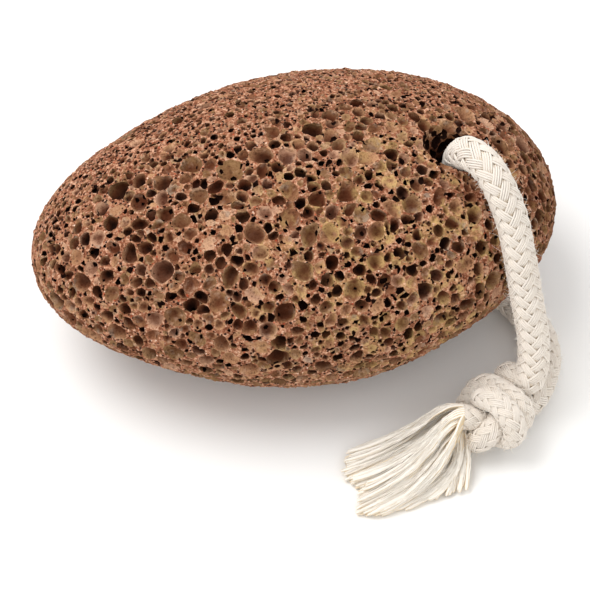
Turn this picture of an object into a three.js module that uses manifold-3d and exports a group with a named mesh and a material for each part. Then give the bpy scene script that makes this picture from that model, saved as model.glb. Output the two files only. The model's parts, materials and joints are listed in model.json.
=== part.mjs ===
// A pumice foot stone on a cotton cord.
//
// Millimetres, +Z up. The stone lies on its flat rest face at z = 0, its length along X and
// its drilled end at +X. The origin is under the middle of the stone. The cord runs out of
// the knot, over the stone's shoulder, down through the drilled hole, out underneath and
// along the surface back to the knot, which ends in a frayed tassel.

import * as THREE from 'three';
import { mergeVertices } from 'three/addons/utils/BufferGeometryUtils.js';
import Module from 'manifold-3d';

const wasm = await Module();
wasm.setup();

// ---- Driving dimensions -------------------------------------------------------------------

const GAP = 0.3; // clearance between pieces that touch

const STONE = {
  halfLength: 50,
  halfWidth: 31.9,
  halfHeight: 23.5,
  midHeight: 22.7, // the middle of the pebble above the surface, so the rest face cuts 0.8 off
  taper: 0.055, // how much fuller the drilled end is than the narrow end
  detail: 11, // subdivisions of the icosahedron it is shaped from
};

// Low swellings and hollows of the pebble: the way each faces, how wide it is and how high.
const LUMPS = [
  { facing: new THREE.Vector3(0.1, -0.78, -0.62), spread: 0.42, height: 1.4 },
  { facing: new THREE.Vector3(0.66, -0.58, -0.48), spread: 0.34, height: -2.0 },
  { facing: new THREE.Vector3(-0.68, -0.55, -0.48), spread: 0.36, height: -1.1 },
  { facing: new THREE.Vector3(0.3, 0.75, -0.5), spread: 0.4, height: 0.8 },
  { facing: new THREE.Vector3(-0.55, 0.7, 0.35), spread: 0.36, height: -0.9 },
];

const HOLE = {
  bottom: new THREE.Vector3(34.1, -5.3, 6.6),
  top: new THREE.Vector3(29.6, -3.2, 42.2),
  radius: 4.4,
  bottomFlare: 3.0, // how much wider each mouth has crumbled
  topFlare: 3.4,
  flareDepth: 4.2,
  overrun: 6, // the cutter runs this far past each mouth
  sides: 24,
};

const CORD = { radius: 3.0, sides: 10, steps: 64 };

// The cord's middle line, from the knot round and back to it.
const CORD_ROUTE = [
  [37.0, -35.8, 10.6], [38.0, -34.3, 12.4], [38.6, -32.5, 15.2], [38.7, -30.5, 18.6],
  [38.3, -28.5, 22.3], [37.8, -26.4, 26.2], [37.4, -24.3, 30.2], [36.9, -22.2, 34.1],
  [36.4, -19.9, 37.8], [35.6, -17.5, 41.2], [34.5, -14.9, 44.0], [33.2, -11.9, 45.8],
  [31.7, -8.9, 46.1], [30.7, -6.2, 44.5], [30.1, -4.2, 41.4], [30.0, -3.3, 37.6],
  [30.2, -3.1, 32.8], [31.0, -3.4, 26.0], [32.0, -3.9, 19.0], [33.2, -4.4, 12.8],
  [34.6, -5.1, 8.6], [36.4, -6.6, 5.5], [38.4, -8.8, 3.8], [40.9, -12.5, 3.1],
  [43.0, -17.0, 3.1], [44.0, -21.8, 3.1], [43.4, -26.4, 3.2], [41.5, -30.6, 3.6],
  [39.2, -34.2, 4.2], [37.2, -36.4, 4.6],
];

const KNOT = {
  middle: new THREE.Vector3(30.2, -37.2, 7.6),
  halfLength: 8.0,
  halfWidth: 7.7,
  halfHeight: 7.5,
  segments: 28,
};

// Oval sections of the tassel, from inside the knot to the tips of the yarns.
const TASSEL_SECTIONS = [
  { middle: [25.5, -39.2, 6.2], halfWidth: 3.6, halfHeight: 3.8 },
  { middle: [21.8, -41.6, 5.4], halfWidth: 6.0, halfHeight: 4.6 },
  { middle: [17.5, -43.4, 4.4], halfWidth: 7.4, halfHeight: 4.2 },
  { middle: [12.0, -45.0, 3.4], halfWidth: 7.4, halfHeight: 3.3 },
  { middle: [6.5, -46.6, 2.8], halfWidth: 6.6, halfHeight: 2.7 },
  { middle: [1.6, -47.9, 2.1], halfWidth: 5.2, halfHeight: 2.0 },
];
const TASSEL_SIDES = 16;

// ---- Solids --------------------------------------------------------------------------------

/** Turns a closed geometry into a manifold solid. */
function toSolid(geometry) {
  const bare = geometry.clone();
  bare.deleteAttribute('normal');
  bare.deleteAttribute('uv');
  const merged = mergeVertices(bare, 1e-4);
  return new wasm.Manifold(new wasm.Mesh({
    numProp: 3,
    vertProperties: new Float32Array(merged.attributes.position.array),
    triVerts: new Uint32Array(merged.index.array),
  }));
}

/** Turns a manifold solid back into a geometry. */
function toGeometry(solid) {
  const mesh = solid.getMesh();
  const geometry = new THREE.BufferGeometry();
  geometry.setAttribute('position', new THREE.BufferAttribute(mesh.vertProperties, 3));
  geometry.setIndex(new THREE.BufferAttribute(mesh.triVerts, 1));
  geometry.computeVertexNormals();
  return geometry;
}

/** Moves every vertex of a geometry to where place() puts it. */
function reshape(geometry, place) {
  const position = geometry.attributes.position;
  const point = new THREE.Vector3();
  for (let i = 0; i < position.count; i += 1) {
    point.fromBufferAttribute(position, i);
    place(point);
    position.setXYZ(i, point.x, point.y, point.z);
  }
  return geometry;
}

/** A tube of a given radius along a curve. */
function tube(curve, radius) {
  const section = new THREE.Shape();
  for (let i = 0; i < CORD.sides; i += 1) {
    const angle = (i / CORD.sides) * 2 * Math.PI;
    const corner = [radius * Math.cos(angle), radius * Math.sin(angle)];
    if (i === 0) section.moveTo(...corner);
    else section.lineTo(...corner);
  }
  section.closePath();
  return new THREE.ExtrudeGeometry(section, { extrudePath: curve, steps: CORD.steps });
}

// ---- Stone ---------------------------------------------------------------------------------

/** The pebble: an egg-shaped ellipsoid with its swellings, cut flat where it rests. */
function pebble() {
  const ball = new THREE.IcosahedronGeometry(1, STONE.detail);
  const lumps = LUMPS.map((lump) => ({ ...lump, facing: lump.facing.clone().normalize() }));
  reshape(ball, (point) => {
    const facing = point.clone().normalize();
    const fuller = STONE.taper * facing.x;
    point.set(
      STONE.halfLength * facing.x,
      STONE.halfWidth * (1 + fuller) * facing.y,
      STONE.halfHeight * (1 + 0.8 * fuller) * facing.z,
    );
    for (const lump of lumps) {
      const away = facing.angleTo(lump.facing) / lump.spread;
      point.addScaledVector(facing, lump.height * Math.exp(-away * away));
    }
    point.z += STONE.midHeight;
  });
  const side = 4 * STONE.halfLength;
  const below = new THREE.BoxGeometry(side, side, side).translate(0, 0, -side / 2);
  return toSolid(ball).subtract(toSolid(below));
}

/** The cutter for the drilled hole, a bar that widens at both crumbled mouths. */
function drill() {
  const length = HOLE.top.distanceTo(HOLE.bottom);
  const rings = 36;
  const profile = [new THREE.Vector2(0, -HOLE.overrun)];
  for (let i = 0; i <= rings; i += 1) {
    const along = -HOLE.overrun + (i / rings) * (length + 2 * HOLE.overrun);
    const low = Math.exp(-Math.max(along, 0) / HOLE.flareDepth);
    const high = Math.exp(-Math.max(length - along, 0) / HOLE.flareDepth);
    const radius = HOLE.radius + HOLE.bottomFlare * low + HOLE.topFlare * high;
    profile.push(new THREE.Vector2(radius, along));
  }
  profile.push(new THREE.Vector2(0, length + HOLE.overrun));
  const bar = new THREE.LatheGeometry(profile, HOLE.sides);
  const axis = HOLE.top.clone().sub(HOLE.bottom).normalize();
  const turn = new THREE.Quaternion().setFromUnitVectors(new THREE.Vector3(0, 1, 0), axis);
  bar.applyQuaternion(turn);
  bar.translate(HOLE.bottom.x, HOLE.bottom.y, HOLE.bottom.z);
  return toSolid(bar);
}

function stoneGeometry() {
  const body = pebble();
  const box = new THREE.Box3().setFromBufferAttribute(toGeometry(body).attributes.position);
  const middle = box.getCenter(new THREE.Vector3());
  return toGeometry(body.translate([-middle.x, -middle.y, 0]).subtract(drill()));
}

// ---- Cord, knot and tassel -------------------------------------------------------------------

const cordLine = new THREE.CatmullRomCurve3(CORD_ROUTE.map((p) => new THREE.Vector3(...p)));

/** The room that the cord takes in the knot: a little wider and longer than the cord. */
function cordRoom() {
  const points = CORD_ROUTE.map((p) => new THREE.Vector3(...p));
  for (const [end, next] of [[points[0], points[1]], [points.at(-1), points.at(-2)]]) {
    end.addScaledVector(end.clone().sub(next).normalize(), GAP);
  }
  return toSolid(tube(new THREE.CatmullRomCurve3(points), CORD.radius + GAP));
}

/** The knot's outer shape, grown by a clearance. */
function knotBody(grow = 0) {
  const ball = new THREE.SphereGeometry(1, KNOT.segments, KNOT.segments / 2);
  ball.scale(KNOT.halfLength + grow, KNOT.halfWidth + grow, KNOT.halfHeight + grow);
  return toSolid(ball.translate(KNOT.middle.x, KNOT.middle.y, KNOT.middle.z));
}

/** A closed body through oval sections that stand across the line of their middles. */
function tasselBody() {
  const middles = TASSEL_SECTIONS.map((section) => new THREE.Vector3(...section.middle));
  const line = new THREE.CatmullRomCurve3(middles);
  const last = TASSEL_SECTIONS.length - 1;
  const rod = new THREE.CylinderGeometry(1, 1, 1, TASSEL_SIDES, 3 * last);
  reshape(rod, (point) => {
    const along = THREE.MathUtils.clamp(point.y + 0.5, 0, 1);
    const index = Math.min(Math.floor(along * last), last - 1);
    const part = along * last - index;
    const here = TASSEL_SECTIONS[index];
    const next = TASSEL_SECTIONS[index + 1];
    const halfWidth = THREE.MathUtils.lerp(here.halfWidth, next.halfWidth, part);
    const halfHeight = THREE.MathUtils.lerp(here.halfHeight, next.halfHeight, part);
    const tangent = line.getTangent(along);
    const across = new THREE.Vector3(tangent.y, -tangent.x, 0).normalize();
    const wide = point.x * halfWidth;
    const high = point.z * halfHeight;
    point.copy(line.getPoint(along)).addScaledVector(across, wide);
    point.z = Math.max(point.z + high, 0.05);
  });
  return toSolid(rod);
}

// ---- Assembly ---------------------------------------------------------------------------------

const pumice = new THREE.MeshStandardMaterial({ color: 0x9a6248, roughness: 0.95, metalness: 0 });
const cotton = new THREE.MeshStandardMaterial({ color: 0xefe6d6, roughness: 0.9, metalness: 0 });

/** A named mesh. */
function piece(name, geometry, material) {
  const mesh = new THREE.Mesh(geometry, material.clone());
  mesh.name = name;
  return mesh;
}

const footStone = new THREE.Group();
footStone.add(
  piece('stone', stoneGeometry(), pumice),
  piece('cord', toGeometry(toSolid(tube(cordLine, CORD.radius))), cotton),
  piece('knot', toGeometry(knotBody().subtract(cordRoom())), cotton),
  piece('tassel', toGeometry(tasselBody().subtract(knotBody(GAP))), cotton),
);

export default footStone;
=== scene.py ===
"""A lava foot stone on a braided cotton cord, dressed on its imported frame.

The stone is a drilled, tumbled pebble of red vesicular lava, whose cut bubbles are modelled one by one.
The cord is a sixteen-carrier cotton braid through the hole, doubled into a knot and a frayed tassel.
"""

import json
import logging
import math
from dataclasses import dataclass, field
from enum import Enum

import bmesh
import bpy
import numpy as np
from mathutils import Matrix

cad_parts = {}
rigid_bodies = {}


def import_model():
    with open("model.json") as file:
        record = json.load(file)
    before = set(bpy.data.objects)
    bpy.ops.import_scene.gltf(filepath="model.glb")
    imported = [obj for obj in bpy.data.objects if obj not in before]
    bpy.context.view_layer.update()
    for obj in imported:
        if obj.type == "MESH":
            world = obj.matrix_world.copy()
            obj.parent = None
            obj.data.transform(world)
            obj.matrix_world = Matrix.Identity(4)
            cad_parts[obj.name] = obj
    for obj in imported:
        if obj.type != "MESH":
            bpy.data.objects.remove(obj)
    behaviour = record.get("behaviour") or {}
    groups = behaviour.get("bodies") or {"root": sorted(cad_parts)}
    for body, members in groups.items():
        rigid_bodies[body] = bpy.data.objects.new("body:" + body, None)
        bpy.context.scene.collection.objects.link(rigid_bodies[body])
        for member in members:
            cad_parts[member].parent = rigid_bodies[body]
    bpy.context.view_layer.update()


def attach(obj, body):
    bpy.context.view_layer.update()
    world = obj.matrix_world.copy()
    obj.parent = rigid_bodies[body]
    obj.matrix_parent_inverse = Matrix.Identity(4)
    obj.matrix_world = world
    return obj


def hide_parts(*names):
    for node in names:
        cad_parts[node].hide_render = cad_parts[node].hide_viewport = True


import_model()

import openvdb
from mathutils import Vector

LOG = logging.getLogger("foot_stone")
MM = 0.001
COLOURS = {"data_type": "RGBA"}
SOFTLY = {"interpolation_type": "SMOOTHSTEP"}

Tree = bpy.types.NodeTree
Node = bpy.types.Node
Mesh = bpy.types.Mesh
Material = bpy.types.Material
Piece = bpy.types.Object
Place = tuple[float, float, float]  # or a direction, or any three numbers that go together


# ---------------------------------------------------------------- small tools


def linear(colour: str) -> tuple[float, float, float, float]:
    """Turns an sRGB hex colour into the linear one that shaders take.

    Args:
        colour: Six hex digits after a hash.

    Returns:
        Red, green, blue and an alpha of one.
    """
    parts = [int(colour[i : i + 2], 16) / 255 for i in (1, 3, 5)]
    flat = [p / 12.92 if p <= 0.04045 else ((p + 0.055) / 1.055) ** 2.4 for p in parts]
    return (*flat, 1.0)


def add(tree: Tree, kind: str, links: dict | None = None, **settings: object) -> Node:
    """Adds one shader node with its settings and links.

    Args:
        tree: The material's node tree.
        kind: The node's type name, without its ShaderNode prefix.
        links: What feeds each input: an output, a node (its first output in use) or a value.
        settings: Attributes of the node; stops, pairs of place and hex colour, fill a colour ramp.

    Returns:
        The new node.
    """
    node = tree.nodes.new("ShaderNode" + kind)
    for name, value in settings.items():
        if name == "stops":
            ramp = node.color_ramp
            while len(ramp.elements) < len(value):
                ramp.elements.new(0.5)
            for element, (place, colour) in zip(ramp.elements, value):
                element.position, element.color = place, linear(colour)
        else:
            setattr(node, name, value)
    for name, source in (links or {}).items():
        socket = node.inputs[name]
        if isinstance(source, Node):
            source = next(output for output in source.outputs if output.enabled)
        if isinstance(source, bpy.types.NodeSocket):
            tree.links.new(source, socket)
        else:
            socket.default_value = source
    return node


def bare_material(name: str) -> tuple[Material, Tree]:
    """Makes a material with no nodes yet.

    Args:
        name: The material's name.

    Returns:
        The material and its node tree.
    """
    material = bpy.data.materials.new(name)
    material.use_nodes = True
    material.node_tree.nodes.clear()
    return material, material.node_tree


def per(size_mm: float) -> float:
    """Gives the pattern scale for one feature in so many millimetres."""
    return 1 / (size_mm * MM)


def smoothstep(low: float, high: float, value: np.ndarray) -> np.ndarray:
    """Rises smoothly from 0 at low to 1 at high."""
    t = np.clip((value - low) / (high - low), 0.0, 1.0)
    return t * t * (3.0 - 2.0 * t)


def unit(vectors: np.ndarray) -> np.ndarray:
    """Scales each row to a length of one."""
    return vectors / np.maximum(np.linalg.norm(vectors, axis=-1, keepdims=True), 1e-12)


def place_piece(mesh: Mesh, name: str, finish: Material, node: str) -> Piece:
    """Puts a finished mesh in the scene as a piece of the object.

    Args:
        mesh: The mesh, in metres in the frame's place.
        name: The piece's name.
        finish: Its material.
        node: The CAD node it stands for, or an empty string.

    Returns:
        The new object.
    """
    mesh.name = name
    mesh.materials.clear()
    mesh.materials.append(finish)
    piece = bpy.data.objects.new(name, mesh)
    bpy.context.scene.collection.objects.link(piece)
    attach(piece, "root")
    if node:
        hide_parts(node)
    LOG.info("%s: %d faces", name, len(mesh.polygons))
    return piece


def read(items: object, name: str, width: int = 3, kind: type = float) -> np.ndarray:
    """Reads one value of every point, corner or face of a mesh.

    Args:
        items: The mesh's points, corners or faces.
        name: The value's name.
        width: How many numbers make up one value.
        kind: The type of number.

    Returns:
        One row for each of them.
    """
    values = np.zeros(len(items) * width, kind)
    items.foreach_get(name, values)
    return values.reshape(-1, width)


def mark(mesh: Mesh, name: str, values: np.ndarray) -> None:
    """Stores a number for each of a mesh's faces or points, whichever there are as many of."""
    domain = "FACE" if len(values) == len(mesh.polygons) else "POINT"
    mesh.attributes.new(name, "FLOAT", domain).data.foreach_set("value", values.astype(np.float32))


# ---------------------------------------------------------------- the stone


@dataclass(frozen=True)
class Swell:
    """A broad low swelling, or with a negative height a hollow, of the pebble.

    Attributes:
        facing: The direction it faces from the middle.
        spread: The angle, in radians, at which it has fallen to about a third.
        height: Its height in millimetres.
    """

    facing: Place
    spread: float
    height: float


@dataclass(frozen=True)
class Envelope:
    """The tumbled pebble's smooth outside, in millimetres.

    Attributes:
        half_length: Half its length.
        half_width: Half its width, midway along.
        half_height: Half its height, midway along.
        mid_height: How high its middle lies above the floor.
        taper: How much wider the drilled end is, as a share.
        taper_height: How much higher that end is, next to how much wider.
        swells: Its swellings and hollows.
    """

    half_length: float = 50.0
    half_width: float = 31.9
    half_height: float = 23.5
    mid_height: float = 22.7
    taper: float = 0.055
    taper_height: float = 0.8
    swells: tuple[Swell, ...] = (
        Swell((0.10, -0.78, -0.62), 0.42, 1.4),
        Swell((0.66, -0.58, -0.48), 0.34, -2.0),
        Swell((-0.68, -0.55, -0.48), 0.36, -1.1),
        Swell((0.30, 0.75, -0.50), 0.40, 0.8),
        Swell((-0.55, 0.70, 0.35), 0.36, -0.9),
    )

    def _halves(self, lean: np.ndarray) -> np.ndarray:
        """Gives the three half sizes at each lean.

        Args:
            lean: How far along the pebble each place is, from -1 to 1.

        Returns:
            Rows of half sizes.
        """
        wide = self.half_width * (1 + self.taper * lean)
        high = self.half_height * (1 + self.taper_height * self.taper * lean)
        return np.stack([np.full_like(lean, self.half_length), wide, high], -1)

    def _swelling(self, facing: np.ndarray) -> np.ndarray:
        """Gives the added height of all the swells.

        Args:
            facing: Rows of unit vectors.

        Returns:
            One height for each.
        """
        total = np.zeros(facing.shape[:-1])
        for swell in self.swells:
            toward = np.array(swell.facing) / np.linalg.norm(swell.facing)
            angle = np.arccos(np.clip(facing @ toward, -1.0, 1.0))
            total += swell.height * np.exp(-((angle / swell.spread) ** 2))
        return total

    def surface(self, facing: np.ndarray) -> np.ndarray:
        """Gives the point of the outside in each facing.

        Args:
            facing: Rows of unit vectors.

        Returns:
            Rows of points, before the pebble is centred.
        """
        point = facing * self._halves(facing[..., 0])
        point = point + facing * self._swelling(facing)[..., None]
        point[..., 2] += self.mid_height
        return point

    def centre_shift(self) -> np.ndarray:
        """Works out the move that centres the pebble's outline over the origin.

        Returns:
            The move.
        """
        turn = np.linspace(0, 2 * np.pi, 361)[:-1]
        rise = np.linspace(-np.pi / 2, np.pi / 2, 181)
        a, b = np.meshgrid(turn, rise)
        facing = np.stack([np.cos(b) * np.cos(a), np.cos(b) * np.sin(a), np.sin(b)], -1).reshape(-1, 3)
        point = self.surface(facing)
        middle = (point.min(0) + point.max(0)) / 2
        return np.array([-middle[0], -middle[1], 0.0])

    def _rounded(self, point: np.ndarray) -> np.ndarray:
        """Divides points by the half sizes there, which makes the pebble a ball."""
        return point / self._halves(np.clip(point[..., 0] / self.half_length, -1, 1))

    def distance(self, point: np.ndarray, shift: np.ndarray) -> np.ndarray:
        """Gives the distance from the outside, negative inside, true near it.

        Args:
            point: Points in the frame, in millimetres.
            shift: The move that centred the pebble.

        Returns:
            One distance for each point.
        """
        start = point - shift - np.array([0, 0, self.mid_height])
        inner = self._rounded(start)
        for _ in range(2):
            facing = unit(inner)
            inner = self._rounded(start - facing * self._swelling(facing)[..., None])
        size = np.linalg.norm(inner, axis=-1)
        halves = np.array([self.half_length, self.half_width, self.half_height])
        slope = np.linalg.norm(inner / halves, axis=-1) / np.maximum(size, 1e-6)
        return (size - 1) / np.maximum(slope, 1e-6)


@dataclass(frozen=True)
class Drilling:
    """The drilled hole for the cord, with its two crumbled mouths, in millimetres.

    Attributes:
        bottom: The middle of its lower mouth.
        top: The middle of its upper mouth.
        radius: The drill's radius.
        bottom_flare: How much wider the lower mouth is.
        top_flare: How much wider the upper mouth is, on its worn side.
        flare_depth: How deep the flares reach.
        overrun: How far past its mouths the drill goes.
        worn_towards: The side on which the upper mouth has crumbled away.
    """

    bottom: Place = (34.1, -5.3, 6.6)
    top: Place = (29.6, -3.2, 42.2)
    radius: float = 4.4
    bottom_flare: float = 3.0
    top_flare: float = 1.7
    flare_depth: float = 4.2
    overrun: float = 6.0
    worn_towards: Place = (-0.60, 0.80, 0.0)

    def distance(self, point: np.ndarray) -> np.ndarray:
        """Gives the distance from the hole's wall, negative in the hole.

        Args:
            point: Points in the frame, in millimetres.

        Returns:
            One distance for each point.
        """
        low, high = np.array(self.bottom), np.array(self.top)
        run = np.linalg.norm(high - low)
        axis = (high - low) / run
        along = (point - low) @ axis
        across = point - low - along[..., None] * axis
        off = np.linalg.norm(across, axis=-1)
        # the upper mouth has not crumbled under the cord
        side = smoothstep(-0.3, 0.8, across @ np.array(self.worn_towards) / np.maximum(off, 1e-6))
        wide = (
            self.radius
            + self.bottom_flare * np.exp(-np.maximum(along, 0) / self.flare_depth)
            + self.top_flare * side * np.exp(-np.maximum(run - along, 0) / self.flare_depth)
        )
        ends = np.maximum(-along - self.overrun, along - run - self.overrun)
        return np.maximum(off - wide, ends)


@dataclass(frozen=True)
class Block:
    """The block of small cubes that the stone is worked out in, in millimetres.

    Attributes:
        low: Its lowest corner.
        coarse_count: How many points its coarse lattice has along each side.
        coarse_pitch: The distance between them.
        steps: How many small cubes fit between two of them.
    """

    low: Place = (-51.2, -33.2, -1.2)
    coarse_count: tuple[int, int, int] = (129, 84, 62)
    coarse_pitch: float = 0.8
    steps: int = 4

    @property
    def pitch(self) -> float:
        """The side of a small cube."""
        return self.coarse_pitch / self.steps

    @property
    def shape(self) -> tuple[int, int, int]:
        """How many small cubes lie along each side."""
        return tuple((n - 1) * self.steps + 1 for n in self.coarse_count)

    def coarse_points(self) -> np.ndarray:
        """Gives the points of the coarse lattice."""
        axes = [self.low[k] + self.coarse_pitch * np.arange(self.coarse_count[k]) for k in range(3)]
        return np.stack(np.meshgrid(*axes, indexing="ij"), -1)

    def refine(self, coarse: np.ndarray, steps: int) -> np.ndarray:
        """Fills in a lattice evenly between its points.

        Args:
            coarse: Values on a coarse lattice.
            steps: How many fine steps make a coarse one.

        Returns:
            Values on the fine lattice.
        """
        out = coarse.astype(np.float32)
        for axis in range(3):
            count = (out.shape[axis] - 1) * steps + 1
            at = np.arange(count)
            low = np.minimum(at // steps, out.shape[axis] - 2)
            share = ((at - low * steps) / steps).astype(np.float32)
            share = share.reshape([-1 if k == axis else 1 for k in range(3)])
            out = out.take(low, axis) * (1 - share) + out.take(low + 1, axis) * share
        return out

    def grain(self, spacing_steps: int, seed: int) -> np.ndarray:
        """Gives smooth random values from -1 to 1 all over the block.

        Args:
            spacing_steps: Small cubes between two random values.
            seed: The random seed.

        Returns:
            Values on the fine lattice.
        """
        count = [n // spacing_steps + 2 for n in self.shape]
        seeds = np.random.default_rng(seed).uniform(-1, 1, count)
        fine = self.refine(seeds, spacing_steps)
        return fine[: self.shape[0], : self.shape[1], : self.shape[2]]

    def index(self, point: np.ndarray) -> tuple[np.ndarray, ...]:
        """Gives the small cube nearest each point, as three index lists."""
        at = np.rint((point - np.array(self.low)) / self.pitch).astype(int)
        return tuple(np.clip(at[:, k], 0, self.shape[k] - 1) for k in range(3))


class Bubble(Enum):
    """What kind of bubble a cavity was."""

    OPEN = 0
    PINHOLE = 1


@dataclass(frozen=True)
class Blow:
    """One round of bubbles, all of a like size, in millimetres.

    Attributes:
        low: The smallest radius.
        high: The largest radius.
        batches: How many times over places are tried.
        tries: How many places are tried each time.
        coarse: The least and most coarseness of the froth they form in.
        rise: How far the middle may stand above the surface, in radii.
        sink: How far the middle may lie under the surface, in radii.
        kind: The kind of bubble.
    """

    low: float
    high: float
    batches: int
    tries: int
    coarse: tuple[float, float]
    rise: float = 0.62
    sink: float = 0.9
    kind: Bubble = Bubble.OPEN


@dataclass
class Froth:
    """The bubbles that the stone's outside cuts open, in millimetres.

    Attributes:
        block: The block it is worked out in.
        skin: The distance from the stone's outside all over the block.
        seed: What the random choices start from.
        film: How thick the films between bubbles are.
        film_steps: The small cubes between two random thicknesses of the film.
        sound: The middle of the part of the rim that the cord bears on, where no large bubble is.
        sound_reach: How far that part reaches.
        worn_height: The height under which the worn rest face is closer grained.
        worn_share: The share of its bubbles that the rest face keeps.
        bend_size: How far the froth moved while it set, so that no bubble is quite round.
        bend_steps: The small cubes between two random moves.
        lap: The least and most that a bubble is pressed into its neighbour, in radii.
        lap_share: How many of them are pressed; the rest stand apart.
        gap: The least and most that those stand apart.
        rounds: The rounds of bubbles, largest first.
        middles: The bubbles' middles, before the froth moved.
        radii: Their three radii.
        turns: The matrices whose rows are their three axes.
        kinds: Their kinds.
        depths: How deep their middles lie.
    """

    block: Block
    skin: np.ndarray
    seed: int = 20
    film: float = 0.34
    film_steps: int = 9
    sound: Place = (32.0, -11.0, 42.5)
    sound_reach: float = 6.0
    worn_height: float = 3.0
    worn_share: float = 0.4
    bend_size: float = 0.55
    bend_steps: int = 9
    lap: tuple[float, float] = (-0.05, 0.22)
    lap_share: float = 0.65
    gap: tuple[float, float] = (0.1, 0.4)
    rounds: tuple[Blow, ...] = (
        Blow(2.60, 3.40, 1, 1400, (0.85, 1.1), 0.82, -0.55),
        Blow(1.65, 2.20, 1, 6000, (0.75, 1.1), 0.80, 0.30),
        Blow(1.10, 1.65, 4, 160000, (0.60, 1.1), 0.86, 0.45),
        Blow(0.75, 1.10, 8, 160000, (0.35, 1.1), 0.80, 0.90),
        Blow(0.80, 1.30, 1, 6000, (-0.1, 0.5), 0.80, 0.4),
        Blow(0.50, 0.86, 3, 90000, (-0.1, 0.5), -0.42, 0.93),
        Blow(0.48, 0.75, 6, 160000, (0.10, 1.1), 0.5, 0.97),
        Blow(0.32, 0.50, 3, 160000, (0.45, 1.1), 0.3, 0.97),
        Blow(0.45, 0.75, 2, 60000, (-0.1, 0.5), 0.2, 0.97),
        Blow(0.32, 0.52, 6, 160000, (-0.1, 0.5), 0.1, 0.97),
        Blow(0.28, 0.58, 2, 200000, (-0.1, 1.1), kind=Bubble.PINHOLE),
    )
    middles: list[np.ndarray] = field(default_factory=list)
    radii: list[np.ndarray] = field(default_factory=list)
    turns: list[np.ndarray] = field(default_factory=list)
    kinds: list[Bubble] = field(default_factory=list)
    depths: list[float] = field(default_factory=list)

    def __post_init__(self) -> None:
        """Starts with no bubble anywhere."""
        self.rng = np.random.default_rng(self.seed)
        self.bend = [self.bend_size * self.block.grain(self.bend_steps, 30 + k) for k in range(3)]
        self.wall = np.full(self.block.shape, 9.0, np.float32)
        self.next_wall = np.full(self.block.shape, 9.0, np.float32)
        self.holes = np.full(self.block.shape, 9.0, np.float32)
        self.owner = np.full(self.block.shape, -1, np.int32)

    def coarseness(self, point: np.ndarray) -> np.ndarray:
        """Gives how coarse the froth is, from 0 on the fine back to 1 on the front.

        Args:
            point: Points in millimetres.

        Returns:
            One number for each point.
        """
        x, y, z = point[..., 0], point[..., 1], point[..., 2]
        edge = 6.0 + 0.13 * x + 2.2 * np.sin(x / 6.3) + 1.4 * np.sin(x / 2.9 + z / 5.0)
        return smoothstep(5.0, -6.0, y - edge)

    def form(self) -> None:
        """Blows every round of bubbles, largest first."""
        low = np.array(self.block.low)
        size = np.array(self.block.shape) * self.block.pitch
        for blow in self.rounds:
            before = len(self.middles)
            for _ in range(blow.batches):
                point = low + self.rng.random((blow.tries, 3)) * size
                at = self.block.index(point)
                deep, room, coarse = -self.skin[at], self.wall[at], self.coarseness(point)
                if blow.kind is Bubble.PINHOLE:
                    keep = (deep > 0.25) & (deep < 2.6) & (room > 0.1) & (room < 0.5)
                    keep &= self.rng.random(len(point)) < 0.3
                else:
                    keep = (deep > -blow.rise * blow.high) & (deep < blow.sink * blow.high)
                    keep &= room + 0.3 * blow.high > blow.low
                keep &= (coarse >= blow.coarse[0]) & (coarse <= blow.coarse[1]) & (point[:, 2] > 0.6)
                bearing = np.linalg.norm(point - np.array(self.sound), axis=1) < self.sound_reach
                keep &= ~bearing | (blow.high < 0.6) | (deep < -0.1 * blow.high)
                share = np.where(point[:, 2] < self.worn_height, self.worn_share, 1.0)
                keep &= self.rng.random(len(point)) < share
                for place, depth in zip(point[keep], deep[keep]):
                    self._blow_one(blow, place, depth)
            LOG.info("bubbles %.2f to %.2f mm: %d", blow.low, blow.high, len(self.middles) - before)

    def _blow_one(self, blow: Blow, place: np.ndarray, depth: float) -> None:
        """Blows one bubble at a place, as large as its neighbours leave room for.

        Args:
            blow: The round it belongs to.
            place: Its middle.
            depth: How far its middle lies under the surface.
        """
        at = tuple(np.rint((place - np.array(self.block.low)) / self.block.pitch).astype(int))
        if any(a < 0 or a >= n for a, n in zip(at, self.block.shape)):
            return
        room = float(self.wall[at])
        want = blow.low + (blow.high - blow.low) * self.rng.random() ** 0.5
        if blow.kind is Bubble.PINHOLE:
            if not 0.35 * want < room < 0.8 * want:
                return
            radius = want
        else:
            # neighbours squeeze each other, so that a flat film is left between them
            if self.rng.random() < self.lap_share:
                lap = self.rng.uniform(*self.lap) * want
            else:
                lap = -self.rng.uniform(*self.gap)
            radius = min(room + lap, want)
            if radius < blow.low or not -blow.rise * radius < depth < blow.sink * radius:
                return
        turn = np.linalg.qr(self.rng.normal(size=(3, 3)))[0]
        radii = radius * np.array([1.0, self.rng.uniform(0.76, 1.0), self.rng.uniform(0.68, 1.0)])
        middle = place + np.array([bend[at] for bend in self.bend])
        self._stamp(place, middle, radii, turn, blow.high + 0.3, blow.kind)
        self.middles.append(middle)
        self.radii.append(radii)
        self.turns.append(turn)
        self.kinds.append(blow.kind)
        self.depths.append(depth)

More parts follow.
